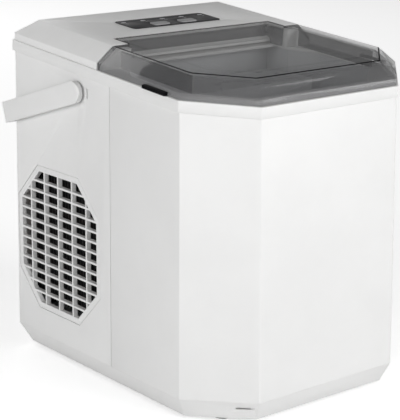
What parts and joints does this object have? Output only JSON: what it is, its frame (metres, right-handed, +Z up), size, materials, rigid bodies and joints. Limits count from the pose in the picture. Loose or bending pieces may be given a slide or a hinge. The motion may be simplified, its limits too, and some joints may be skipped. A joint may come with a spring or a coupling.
{
  "type": "countertop ice maker",
  "caption": "Countertop bullet-ice maker: white faceted housing, smoky hinged lid over basket and water tray, carrying handle, side grilles.",
  "frame": {"origin": "bottom centre of the whole machine's box, on the surface it stands on", "axes": "+Z up, -Y the front with the lid, +X to the machine's left as seen by itself (viewer's right from the front)"},
  "size_m": [0.232, 0.2826, 0.2829],
  "materials": {
    "white_shell": "moulded, fine satin grain",
    "white_handle": "moulded, satin",
    "smoky_lid": "clear tinted, polished",
    "panel_black": "printed film",
    "lamp_grey": "translucent",
    "button_grey": "soft touch",
    "rubber_black": "matte",
    "screw_steel": "zinc plated",
    "pin_steel": "ground",
    "liner_grey": "satin",
    "foam": "rigid foam",
    "basket_grey": "satin",
    "tray_white": "satin",
    "nickel": "plated",
    "copper": "drawn copper",
    "fin_dark": "black coated",
    "compressor_black": "gloss enamel",
    "galvanised": "galvanised",
    "fan_black": "moulded",
    "motor_metal": "plated",
    "board_green": "lacquered",
    "component_black": "moulded",
    "hose_clear": "silicone",
    "gland_black": "moulded",
    "cap_grey": "soft plug",
    "valve_brass": "turned"
  },
  "bodies": {
    "chassis": {"base_pan": "white_shell", "rubber_feet": "rubber_black", "front_shell": "white_shell", "rear_shell": "white_shell", "back_screws": "screw_steel", "left_grille": "white_shell", "right_grille": "white_shell", "top_rim": "white_shell", "lid_hinge_pins": "pin_steel", "top_cover": "white_shell", "control_panel": "panel_black", "indicator_lamps": "lamp_grey", "control_board": "board_green", "push_switches": "component_black", "board_pillars": "white_shell", "inner_tank": "liner_grey", "foam_insulation": "foam", "tray_motor": "motor_metal", "evaporator_bar": "copper", "freezing_fingers": "nickel", "evaporator_cover": "tray_white", "water_pump": "component_black", "water_nozzle": "tray_white", "level_probe": "tray_white", "ice_sensors": "component_black", "pump_hose": "hose_clear", "compressor": "compressor_black", "compressor_plate": "galvanised", "compressor_grommets": "rubber_black", "condenser_tubes": "copper", "condenser_fins": "fin_dark", "fan_shroud": "galvanised", "fan_motor": "motor_metal", "filter_drier": "copper", "hot_gas_valve": "valve_brass", "discharge_pipe": "copper", "suction_pipe": "copper", "main_board": "board_green", "board_components": "component_black", "drain_spout": "liner_grey", "cord_gland": "gland_black"},
    "lid": {"lid": "smoky_lid"},
    "handle": {"handle": "white_handle", "handle_clips": "pin_steel"},
    "select_button": {"button_select": "button_grey"},
    "power_button": {"button_power": "button_grey"},
    "fan": {"fan_blades": "fan_black"},
    "tray": {"water_tray": "tray_white"},
    "basket": {"ice_basket": "basket_grey"},
    "cap": {"drain_cap": "cap_grey"}
  },
  "joints": [
    {"name": "lid_hinge", "type": "hinge", "parent": "chassis", "child": "lid", "pos_m": [0, 0.02009, 0.27096], "axis": [-1, 0, 0], "range_deg": [0, 104]},
    {"name": "handle_swing", "type": "hinge", "parent": "chassis", "child": "handle", "pos_m": [0, 0.03392, 0.23613], "axis": [-1, 0, 0], "range_deg": [-107.3, 0]},
    {"name": "select_press", "type": "slide", "parent": "chassis", "child": "select_button", "axis": [0, 0.0793, -0.9968], "range_m": [0, 0.0008], "stiffness_N_per_m": 400, "springref_m": -0.0004},
    {"name": "power_press", "type": "slide", "parent": "chassis", "child": "power_button", "axis": [0, 0.0793, -0.9968], "range_m": [0, 0.0008], "stiffness_N_per_m": 400, "springref_m": -0.0004},
    {"name": "fan_spin", "type": "hinge", "parent": "chassis", "child": "fan", "pos_m": [-0.075, 0.06671, 0.103], "axis": [1, 0, 0], "continuous": true},
    {"name": "tray_tilt", "type": "hinge", "parent": "chassis", "child": "tray", "pos_m": [0, 0.00071, 0.206], "axis": [1, 0, 0], "range_deg": [0, 60]},
    {"name": "basket_lift", "type": "slide", "parent": "chassis", "child": "basket", "axis": [0, 0, 1], "range_m": [0, 0.05]},
    {"name": "cap_pull", "type": "slide", "parent": "chassis", "child": "cap", "axis": [0, 1, 0], "range_m": [0, 0.012]}
  ]
}
